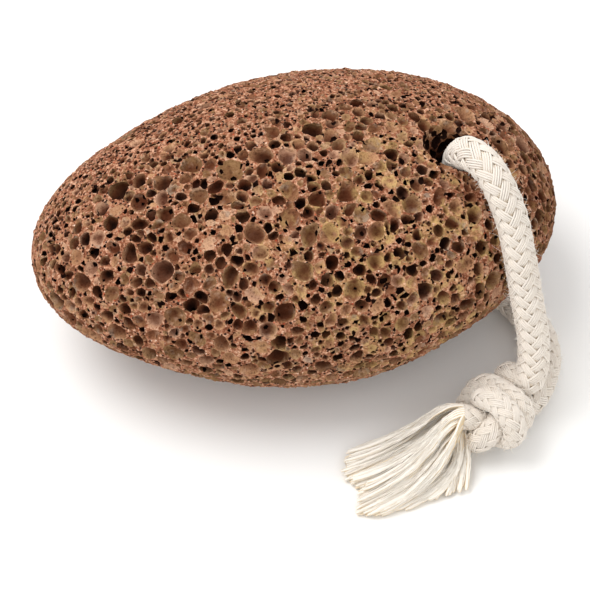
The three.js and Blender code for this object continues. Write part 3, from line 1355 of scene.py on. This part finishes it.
@dataclass
class BraidedCord:
    """The whole cord: knot, loop through the stone, and back through the knot, in millimetres.

    Sixteen carriers of four yarns each go round in two sets of eight, over two and under two.

    Attributes:
        radius: The slack cord's radius.
        knotted_radius: Its radius where the knot squeezes it.
        pitch: The length in which a carrier goes once round.
        lift: How far the carriers go over and under each other, in radii.
        middle_share: How far out they run on the whole, in radii.
        yarn_radius: A yarn's radius.
        yarn_spacing: The distance between a carrier's yarns.
        step: The spacing of the points along the cord.
        unbraided: How many steps at each end are left to the tassel.
        carriers: How many carriers go each way.
        yarns: How many yarns each carrier lays.
        knot_middle: The place about which the knot is eased larger.
        knot_move: How far it is slid along from the loop.
        knot_growth: How much larger it is eased, as a share.
    """

    radius: float = 3.0
    knotted_radius: float = 2.35
    pitch: float = 20.0
    lift: float = 0.10
    middle_share: float = 0.85
    yarn_radius: float = 0.25
    yarn_spacing: float = 0.485
    step: float = 0.42
    unbraided: int = 6
    carriers: int = 8
    yarns: int = 4
    knot_middle: Place = (30.2, -37.2, 7.0)
    knot_move: Place = (-1.7, 0.1, 0.2)
    knot_growth: float = 0.06

    def __post_init__(self) -> None:
        """Joins the knot's two cords to the loop and works out every yarn."""
        first, second = (self._slid(cord) for cord in Overhand().tie())
        self.loop = even_steps(through(np.array(ROUTE_MM)), step=self.step)
        first = even_steps(first, step=self.step)[::-1][self.unbraided :]
        second = even_steps(second, step=self.step)[: -self.unbraided]
        self.start, self.end = len(first) - 1, len(first) - 1 + len(self.loop) - 1
        path = np.vstack([first[:-1], self.loop, second[1:]])
        blend = np.zeros(len(path))
        for joint in (self.start, self.end):
            blend = np.maximum(blend, np.exp(-(((np.arange(len(path)) - joint) / 8) ** 2)))
        for _ in range(40):
            middle = path.copy()
            middle[1:-1] = (path[:-2] + path[1:-1] + path[2:]) / 3
            path += 0.6 * blend[:, None] * (middle - path)
        for _ in range(12):
            tied = np.r_[0 : self.start - 4, self.end + 4 : len(path)]
            tied = tied[(tied > 0) & (tied < len(path) - 1)]
            path[tied] = 0.5 * path[tied] + 0.25 * (path[tied - 1] + path[tied + 1])
        self.path = path
        at = np.arange(len(path)) * self.step
        inside = np.maximum(self.start * self.step - at, at - self.end * self.step)
        self.sizes = self.radius + (self.knotted_radius - self.radius) * smoothstep(-1.5, 4.5, inside)
        self.lines = self._yarn_lines()
        self._press()

    def _slid(self, cord: np.ndarray) -> np.ndarray:
        """Slides the knot along from the loop and eases it larger, by more the further in it is.

        Args:
            cord: The points of one of its cords.

        Returns:
            The points, moved.
        """
        share = smoothstep(0.0, 9.0, run_along(cord))[:, None]
        eased = self.knot_growth * (cord - np.array(self.knot_middle))
        return cord + share * (np.array(self.knot_move) + eased)

    def _yarn_lines(self) -> np.ndarray:
        """Works out where each yarn runs in the braid.

        Returns:
            For each yarn, a row of points along the whole cord.
        """
        rng = np.random.default_rng(4)
        side, up = carried_sides(self.path)
        # the braid's own run, drawn out where the cord is squeezed
        along = np.cumsum(self.step * self.radius / self.sizes)
        lines = []
        end = along[-1]
        for way in (1, -1):
            for carrier in range(self.carriers):
                over = 2 * np.pi * (2 * carrier + way * 2 * self.carriers * along / self.pitch - 0.5) / 4
                wave = np.cos(over)
                wave = np.sign(wave) * np.abs(wave) ** 0.6
                drift = np.interp(along, np.linspace(0, end, 40), rng.normal(0, 0.012, 40))
                for yarn in range(self.yarns):
                    own = np.interp(along, np.linspace(0, end, 60), rng.normal(0, 0.010, 60))
                    place = self.middle_share + own + way * self.lift * wave
                    across = (yarn - (self.yarns - 1) / 2) * self.yarn_spacing / (self.radius * 0.86)
                    across = across + drift + 0.6 * own
                    angle = way * 2 * np.pi * along / self.pitch
                    angle = angle + 2 * np.pi * carrier / self.carriers + across
                    outward = np.cos(angle)[:, None] * side + np.sin(angle)[:, None] * up
                    lines.append(self.path + (self.sizes * place)[:, None] * outward)
        return np.array(lines)

    def _press(self) -> None:
        """Flattens the cord where two wraps of the knot lie against each other, and on the floor."""
        count = len(self.path)
        rows = np.arange(count)
        apart = np.linalg.norm(self.path[:, None] - self.path[None], axis=-1)
        knotted = (rows < self.start + 12) | (rows > self.end - 12)
        own_turn = int(6.0 / self.step)
        for row in rows[knotted]:
            rivals = rows[(np.abs(rows - row) > own_turn) & knotted & (apart[row] < 2.4 * self.radius)]
            for rival in rivals[::3]:
                across = self.path[rival] - self.path[row]
                size = np.linalg.norm(across)
                if size < 1e-6:
                    continue
                across = across / size
                past = (self.lines[:, row] - self.path[row]) @ across - size / 2 + 0.8 * self.yarn_radius
                self.lines[:, row] -= np.maximum(past, 0)[:, None] * across
        self.lines[..., 2] = np.maximum(self.lines[..., 2], self.yarn_radius + 0.05)

    def build(self, cotton: Material) -> list[Piece]:
        """Makes the loop of cord, and the knot as a piece of its own.

        Args:
            cotton: The yarns' material.

        Returns:
            The loop and the knot.
        """
        loop_rows = slice(self.start, self.end + 1)
        radii = [self.yarn_radius] * len(self.lines)
        mesh = yarn_mesh("braided_cord", list(self.lines[:, loop_rows]), radii)
        # rise picks out the creases, which get the painted shade
        mark(mesh, "rise", rise_from(mesh, self.path[loop_rows], 0.70 * self.radius, self.radius))
        loop = place_piece(mesh, "braided_cord", cotton, "cord")
        lines, radii = [], []
        for rows in (slice(0, self.start + 1), slice(self.end, len(self.path))):
            lines += list(self.lines[:, rows])
            radii += [self.yarn_radius * (self.sizes[rows] / self.radius) ** 0.7] * len(self.lines)
        mesh = yarn_mesh("overhand_knot", lines, radii)
        knotted = np.vstack([self.path[: self.start + 1], self.path[self.end :]])
        low, high = 0.58 * self.knotted_radius, 0.97 * self.knotted_radius
        # rise picks out the creases, which get the painted shade
        mark(mesh, "rise", rise_from(mesh, knotted, low, high))
        knot = place_piece(mesh, "overhand_knot", cotton, "knot")
        return [loop, knot]

    def ends(self) -> tuple[np.ndarray, np.ndarray]:
        """Gives the yarns' ends past the knot.

        Returns:
            Where each yarn comes out, and the way it heads there.
        """
        place = np.vstack([self.lines[:, 0], self.lines[:, -1]])
        ahead = np.vstack([self.lines[:, 0] - self.lines[:, 4], self.lines[:, -1] - self.lines[:, -5]])
        return place, unit(ahead)


@dataclass(frozen=True)
class Tassel:
    """The two cord ends beyond the knot, unbraided and combed out to a flat fan, in millimetres.

    Attributes:
        rim: Where the yarn tips end, from the back of the fan round to the front.
        tuft: Where the few yarns end that turn forwards.
        tuft_bundles: How many of the second cord's bundles go to the tuft.
        focus: The place that the tips' last stretch points away from.
        root: Where the yarns leave the knot.
        yarn_radius: A yarn's radius where it leaves the braid.
        swelling: Places along a yarn, and how many times thicker it is there, where the twist opens.
        shares: The stretch of the rim that each cord's bundles take.
        heights: How high the lowest and the highest bundles of each cord lie at the tip.
        leaving: How far a yarn keeps the way it leaves the knot, as a share of its reach.
        arriving: How far it has the way of the tips.
        sway: How far a bundle strays, along, across and up.
        ripple: How far a yarn strays on its own.
        tip_spread: How unevenly the tips end, along, across and up.
        sag: How far under the yarns the strands lie that have spread between them.
        shaded_strand_rise: How white those strands are painted, next to 1 for the yarns on top: painted
            shade under them.
        combed: How many fibres have worked loose from each yarn.
        fibre_radius: The radius that each of those is drawn with, a few fibres clinging together.
        points: How many points lay out a yarn.
        seed: What the random choices start from.
    """

    rim: tuple[tuple[float, float], ...] = (
        (4.4, -37.3), (1.8, -39.0), (0.9, -43.2), (3.4, -45.9), (1.8, -51.4), (4.4, -52.2), (10.0, -51.6),
        (14.5, -51.1),
    )  # fmt: skip
    tuft: tuple[tuple[float, float], ...] = ((15.0, -50.9), (22.6, -50.3))
    tuft_bundles: int = 3
    focus: Place = (62.0, -38.5, 8.0)
    root: Place = (27.0, -37.0, 8.0)
    yarn_radius: float = 0.29
    swelling: tuple[tuple[float, ...], ...] = (
        (0.0, 0.2, 0.5, 0.75, 0.9, 0.97, 1.0),
        (1.0, 1.0, 1.1, 1.3, 1.45, 1.4, 0.8),
    )
    shares: tuple[tuple[float, float], ...] = ((0.0, 0.74), (0.20, 1.0))
    heights: tuple[tuple[float, float], ...] = ((0.8, 1.9), (0.4, 1.1))
    leaving: float = 0.25
    arriving: float = 0.62
    sway: Place = (0.14, 0.24, 0.10)
    ripple: float = 0.07
    tip_spread: Place = (0.45, 0.30, 0.12)
    sag: float = 0.5
    shaded_strand_rise: float = 0.4
    combed: int = 22
    fibre_radius: float = 0.055
    points: int = 34
    seed: int = 12

    def lines(self, cord: BraidedCord) -> tuple[np.ndarray, np.ndarray]:
        """Lays each yarn from the knot to its tip.

        Args:
            cord: The cord whose ends it is.

        Returns:
            A row of points for each yarn, and for each strand that has spread between two.
        """
        rng = np.random.default_rng(self.seed)
        start, ahead = cord.ends()
        rim = even_steps(np.array(self.rim), count=200)
        tuft = even_steps(np.array(self.tuft), count=200)
        bundles = 2 * cord.carriers
        lines, sheet = [], []
        for end, (first, last) in enumerate(self.shares):
            middles = start.reshape(2, bundles, cord.yarns, 3)[end].mean(1)
            # the bundles keep their order from back to front, and the upper ones stay on top
            order = np.argsort(np.argsort(-middles[:, 1] + rng.normal(0, 0.5, bundles)))
            storey = np.argsort(np.argsort(middles[:, 2])) / (bundles - 1)
            forward = self.tuft_bundles if end else 0
            apart = (last - first) / (bundles - forward) / cord.yarns
            lowest, highest = self.heights[end]
            for bundle in range(bundles):
                place = order[bundle] - (bundles - forward)
                height = lowest + storey[bundle] * (highest - lowest)
                sway = rng.normal(size=(2, 3)) * self.sway
                for yarn in range(cord.yarns):
                    own = apart * (yarn - 1.5) + rng.normal(0, 0.004)
                    if place >= 0:
                        at, goal, source = 3 * own + (place + 0.5) / forward, tuft, self.root
                        height, lean = 0.5 + 0.25 * place, np.array([-0.1, -0.9, -0.2])
                    else:
                        share = (order[bundle] + 0.5) / (bundles - forward)
                        at, goal, source = own + first + (last - first) * share, rim, self.focus
                        lean = np.array([-0.7, 0.6 - 2.0 * share, -0.5])
                    tip = np.array([*goal[int(np.clip(at, 0, 1) * (len(goal) - 1))], height])
                    tip += rng.normal(0, self.tip_spread)
                    fan = unit((tip - np.array(source)) * (1, 1, 0.5))
                    k = len(lines)
                    line = self._laid(start[k], unit(ahead[k] + lean), fan, tip, height)
                    lines.append(self._strayed(line, np.linalg.norm(tip - start[k]), sway, rng))
                    if place < 0:
                        sheet.append((end, at, lines[-1]))
        return np.array(lines), self._spread(sheet)

    def _laid(
        self, start: np.ndarray, leaving: np.ndarray, fan: np.ndarray, tip: np.ndarray, height: float
    ) -> np.ndarray:
        """Lays a yarn in one smooth bend.

        Args:
            start: Where it leaves the knot.
            leaving: The way it heads there.
            fan: The way it heads at its tip.
            tip: Where it ends.
            height: How high its bundle lies at the tip.

        Returns:
            A row of points.
        """
        t = np.linspace(0, 1, self.points)[:, None]
        reach = np.linalg.norm(tip - start)
        leave = start + leaving * reach * self.leaving
        arrive = tip - fan * reach * self.arriving + np.array([0, 0, 0.4 + 0.5 * height])
        line = (1 - t) ** 3 * start + 3 * (1 - t) ** 2 * t * leave
        return line + 3 * (1 - t) * t**2 * arrive + t**3 * tip

    def _strayed(
        self, line: np.ndarray, reach: float, sway: np.ndarray, rng: np.random.Generator
    ) -> np.ndarray:
        """Lets a yarn stray from its bend, with its bundle and on its own, and stay off the floor.

        Args:
            line: Its points, changed in place.
            reach: How far its tip is from the knot.
            sway: How far its bundle strays, slowly and fast.
            rng: The source of its own straying.

        Returns:
            Its points.
        """
        t = np.linspace(0, 1, self.points)[:, None]
        waves = sway[0] * np.sin(5.5 * t) + sway[1] * np.sin(9.5 * t + 2 * sway[0, 0])
        turns = 2 * np.pi * reach * t / rng.uniform(3, 6)
        waves = waves + np.sin(turns + rng.random(3) * 7) * self.ripple
        line = line + np.minimum(t * 4, 1) * (1 - 0.4 * t) * waves
        line[:, 2] = np.maximum(line[:, 2], 1.4 * self.yarn_radius + 0.06)
        return line

    def _swollen(self, share: np.ndarray) -> np.ndarray:
        """Gives how many times thicker a yarn is at each share of its length."""
        return np.interp(share, *self.swelling)

    def _spread(self, sheet: list[tuple[int, float, np.ndarray]]) -> np.ndarray:
        """Lays the strands that have spread out between neighbouring yarns, under them.

        Args:
            sheet: For each yarn its cord's end, its place along the rim and its points.

        Returns:
            A row of points for each strand.
        """
        sheet = sorted(sheet, key=lambda one: one[:2])
        strands = []
        for one, other in zip(sheet[:-1:2], sheet[4::2]):
            if one[0] != other[0]:
                continue
            strand = 0.5 * (one[2] + other[2])
            sag = self.sag * np.linspace(0, 1, self.points) ** 0.3
            strand[:, 2] = np.maximum(strand[:, 2] - sag, 0.46)
            strands.append(strand)
        return np.array(strands)

    def build(self, yarns: np.ndarray, strands: np.ndarray, cotton: Material) -> Piece:
        """Makes the tassel.

        Args:
            yarns: The lines of its yarns.
            strands: The lines of the strands between them.
            cotton: The yarns' material.

        Returns:
            The tassel.
        """
        swelling = self._swollen(np.linspace(0, 1, self.points))
        lines = [*yarns, *strands]
        mesh = yarn_mesh("frayed_tassel", lines, [self.yarn_radius * swelling] * len(lines))
        verts = read(mesh.vertices, "co") / MM
        upward = read(mesh.vertex_normals, "vector")[:, 2]
        # painted light and shade: the tips, the higher yarns and the faces turned up are the whitest; the
        # creases, the sides and the yarns under others the yellowest
        out = smoothstep(9.0, 19.0, np.linalg.norm(verts - np.array(self.root), axis=1))
        facing = (0.3 + 0.7 * smoothstep(-0.1, 0.85, upward)) ** (2.4 - 1.4 * out)
        under = np.arange(len(verts)) >= len(verts) * len(yarns) // len(lines)
        painted_shade = np.where(under, self.shaded_strand_rise, facing)
        mark(mesh, "rise", np.clip(verts[:, 2] / 3.0 + 0.7 * out, 0, 1) * painted_shade)
        return place_piece(mesh, "frayed_tassel", cotton, "tassel")

    def comb_out(self, lines: np.ndarray, cotton: Material) -> Piece:
        """Makes the fibres that have worked loose from the opened yarns, and lie along them.

        Args:
            lines: The tassel's yarns.
            cotton: The fibres' material.

        Returns:
            The fibres, as one piece.
        """
        rng = np.random.default_rng(self.seed + 1)
        spans = 6
        every = np.repeat(np.arange(len(lines)), self.combed)
        first = rng.integers(int(0.15 * self.points), self.points - 3 * spans // 2, len(every))
        rows = np.minimum(first[:, None] + np.arange(spans) * 2, self.points - 1)
        fibre = lines[every[:, None], rows]
        swelling = self._swollen(rows / (self.points - 1))
        off = rng.normal(size=(len(every), 3)) * (1.0, 1.0, 0.7)
        off[:, 2] = np.abs(off[:, 2])
        spread = self.yarn_radius * swelling * rng.uniform(0.9, 1.7, (len(every), 1))
        fibre = fibre + unit(off)[:, None] * spread[..., None]
        fibre = fibre + rng.normal(0, 0.05, fibre.shape)
        fibre[..., 2] = np.maximum(fibre[..., 2], 0.12)
        taper = self.fibre_radius * np.array([0.4, 1.0, 1.0, 1.0, 0.8, 0.3])
        mesh = yarn_mesh("combed_fibres", list(fibre), [taper] * len(fibre))
        mark(mesh, "rise", np.full(len(mesh.vertices), 0.9))
        return place_piece(mesh, "combed_fibres", cotton, "")


@dataclass(frozen=True)
class StrayFibres:
    """Cotton fibres that stand off the yarns and fray the tips, in millimetres.

    A cotton fibre is a fiftieth of a millimetre thick; these are drawn three times as thick, to show.

    Attributes:
        count: How many stand off the loop and the knot.
        tip_count: How many fray each of the tassel's yarns.
        lengths: The shortest and longest.
        radius: The radius that each is drawn with.
        bore: How near the stone's hole, from the front, none are drawn.
        seed: What the random choices start from.
    """

    count: int = 5000
    tip_count: int = 6
    lengths: tuple[float, float] = (0.3, 1.2)
    radius: float = 0.029
    bore: float = -6.8
    seed: int = 5

    def build(self, cord: BraidedCord, tassel: np.ndarray, cotton: Material) -> Piece:
        """Makes the fibres.

        Args:
            cord: The cord they stand off.
            tassel: The tassel's yarns.
            cotton: The fibres' material.

        Returns:
            All the fibres, as one piece.
        """
        rng = np.random.default_rng(self.seed)
        yarn = rng.integers(0, len(cord.lines), 3 * self.count)
        row = rng.integers(1, len(cord.path) - 1, 3 * self.count)
        root = cord.lines[yarn, row]
        off = root - cord.path[row]
        proud = np.linalg.norm(off, axis=1) > 0.86 * cord.sizes[row]
        clear = (cord.path[row, 1] < self.bore) & (root[:, 2] > 1.0)
        keep = np.flatnonzero(proud & clear)[: self.count]
        along = unit(cord.lines[yarn, row + 1] - cord.lines[yarn, row - 1])[keep]
        way = unit(off)[keep] * rng.uniform(0.15, 1.0, (len(keep), 1))
        way = way + 0.9 * along * rng.choice((-1, 1), (len(keep), 1))
        roots, ways = [root[keep]], [way]
        every = np.arange(len(tassel))
        for _ in range(self.tip_count):
            row = rng.integers(int(0.80 * tassel.shape[1]), tassel.shape[1] - 1, len(tassel))
            roots.append(tassel[every, row])
            along = unit(tassel[every, row + 1] - tassel[every, row])
            ways.append(along + rng.normal(0, 0.22, along.shape) * (1, 1, 0.6))
        root, way = np.vstack(roots), unit(np.vstack(ways))
        reach = rng.uniform(*self.lengths, (len(root), 1))
        curl = rng.normal(0, 0.45, root.shape)
        steps = np.linspace(0, 1, 5)[:, None, None]
        lines = root + reach * (way * steps + curl * steps**2)
        lines[..., 2] = np.maximum(lines[..., 2], 0.08)
        lines = list(lines.transpose(1, 0, 2))
        taper = self.radius * np.array([1.0, 1.0, 0.9, 0.7, 0.3])
        mesh = yarn_mesh("stray_fibres", lines, [taper] * len(lines))
        mark(mesh, "rise", np.ones(len(mesh.vertices)))
        return place_piece(mesh, "stray_fibres", cotton, "")


@dataclass(frozen=True)
class CottonYarn:
    """Natural unbleached cotton, spun soft and braided.

    It is matt and cream white; its creases are painted yellower, as painted shade for light that has passed
    through more of it.

    Attributes:
        name: The material's name.
        lit: Its colour on top.
        worn: Its colour where it has greyed with handling.
        deep: Its colour in the creases, painted shade.
        rough: Its roughness.
        fuzz: How much its fibres shine at the edges.
        fuzz_rough: How soft that shine is.
        specular: Its specular level.
    """

    name: str = "soft_spun_cotton"
    lit: str = "#ebe2d8"
    worn: str = "#e6dccf"
    deep: str = "#dcc08c"
    rough: float = 0.92
    fuzz: float = 0.2
    fuzz_rough: float = 0.5
    specular: float = 0.2

    def make(self) -> Material:
        """Builds the material.

        Returns:
            The material.
        """
        material, tree = bare_material(self.name)
        here = add(tree, "TexCoord").outputs["Object"]
        rise = add(tree, "Attribute", attribute_name="rise").outputs["Fac"]
        patch = add(tree, "TexNoise", {"Vector": here, "Scale": per(3.0), "Detail": 2.0})
        colours = {6: linear(self.lit), 7: linear(self.worn)}
        colour = add(tree, "Mix", {0: patch} | colours, **COLOURS)
        # painted shade: the lower the rise, the yellower
        low = add(tree, "MapRange", {0: rise, 1: 0.75, 2: 0.0, 4: 0.85}, **SOFTLY)
        colour = add(tree, "Mix", {0: low, 6: colour, 7: linear(self.deep)}, **COLOURS)
        # fibres a fiftieth of a millimetre thick are drawn a sixth thick, so that they show
        fibre = add(tree, "TexNoise", {"Vector": here, "Scale": per(0.16), "Detail": 2.0})
        bump = add(tree, "Bump", {"Height": fibre, "Distance": 0.06 * MM, "Strength": 0.6})
        links = {"Base Color": colour, "Roughness": self.rough, "Normal": bump}
        links |= {"Sheen Weight": self.fuzz, "Sheen Roughness": self.fuzz_rough}
        surface = add(tree, "BsdfPrincipled", links | {"Specular IOR Level": self.specular})
        add(tree, "OutputMaterial", {"Surface": surface})
        return material


# ---------------------------------------------------------------- the setting


@dataclass(frozen=True)
class Studio:
    """The camera, the pale floor and the soft lamps.

    Attributes:
        target: The place that the camera looks at.
        azimuth: How far round it stands, in degrees.
        elevation: How high it stands, in degrees.
        distance: How far away it stands, in metres.
        lens: Its focal length, in millimetres.
        sensor: The width of its sensor, in millimetres.
        floor_size: Half the floor's width, in metres.
        sky_strength: How bright the sky is.
        lamps: Each lamp's name, azimuth, elevation, distance, width and power in watts.
    """

    target: Place = (-1.19 * MM, -5.38 * MM, 8.0 * MM)
    azimuth: float = -11.37
    elevation: float = 54.0
    distance: float = 0.48
    lens: float = 152.2
    sensor: float = 36.0
    floor_size: float = 3.0
    sky_strength: float = 0.95
    lamps: tuple[tuple[str, float, float, float, float, float], ...] = (
        ("key", -115.0, 64.0, 0.9, 0.6, 4.5),
        ("fill", 10.0, 50.0, 1.0, 0.9, 0.4),
    )

    def toward(self, azimuth: float, elevation: float) -> Vector:
        """Gives the unit direction at an azimuth and elevation in degrees."""
        a, e = math.radians(azimuth), math.radians(elevation)
        return Vector((math.sin(a) * math.cos(e), -math.cos(a) * math.cos(e), math.sin(e)))

    def set_camera(self) -> None:
        """Makes the camera and gives it to the scene."""
        data = bpy.data.cameras.new("camera")
        data.lens, data.sensor_width = self.lens, self.sensor
        data.clip_start, data.clip_end = 0.01, 20.0
        camera = bpy.data.objects.new("camera", data)
        away = self.toward(self.azimuth, self.elevation)
        camera.location = Vector(self.target) + away * self.distance
        camera.rotation_euler = away.to_track_quat("Z", "Y").to_euler()
        bpy.context.scene.collection.objects.link(camera)
        bpy.context.scene.camera = camera

    def set_floor(self) -> None:
        """Makes the plain pale floor."""
        mesh = bpy.data.meshes.new("floor")
        sheet = bmesh.new()
        bmesh.ops.create_grid(sheet, x_segments=1, y_segments=1, size=self.floor_size)
        sheet.to_mesh(mesh)
        sheet.free()
        floor = bpy.data.objects.new("floor", mesh)
        bpy.context.scene.collection.objects.link(floor)
        material = bpy.data.materials.new("matt_white_paint")
        material.use_nodes = True
        surface = material.node_tree.nodes["Principled BSDF"]
        surface.inputs["Base Color"].default_value = linear("#f6f5f3")
        surface.inputs["Roughness"].default_value = 0.9
        mesh.materials.append(material)

    def set_lamps(self) -> None:
        """Makes the soft sky and the two lamps."""
        world = bpy.data.worlds.new("soft_sky")
        world.use_nodes = True
        sky = world.node_tree.nodes["Background"]
        sky.inputs["Color"].default_value = (1.0, 1.0, 1.0, 1.0)
        sky.inputs["Strength"].default_value = self.sky_strength
        bpy.context.scene.world = world
        for name, azimuth, elevation, away, size, watts in self.lamps:
            data = bpy.data.lights.new(name, "AREA")
            data.shape, data.size, data.energy = "DISK", size, watts
            lamp = bpy.data.objects.new(name, data)
            way = self.toward(azimuth, elevation)
            lamp.location = way * away
            lamp.rotation_euler = way.to_track_quat("Z", "Y").to_euler()
            bpy.context.scene.collection.objects.link(lamp)


def main() -> None:
    """Builds and dresses the whole object."""
    logging.basicConfig(level=logging.INFO, format="%(name)s: %(message)s")
    bpy.context.scene.view_settings.view_transform = "Standard"
    studio = Studio()
    studio.set_camera()
    cord = BraidedCord()
    cotton = CottonYarn().make()
    opened = CottonYarn("combed_cotton", lit="#faf5ec", worn="#f5ede1", deep="#e6c585").make()
    loop, knot = cord.build(cotton)
    yarns, strands = Tassel().lines(cord)
    tassel = Tassel().build(yarns, strands, opened)
    combed = Tassel().comb_out(np.vstack([yarns, strands]), opened)
    fibres = StrayFibres().build(cord, yarns, opened)
    FootStone().build()
    studio.set_floor()
    studio.set_lamps()


if __name__ == "__main__":
    main()
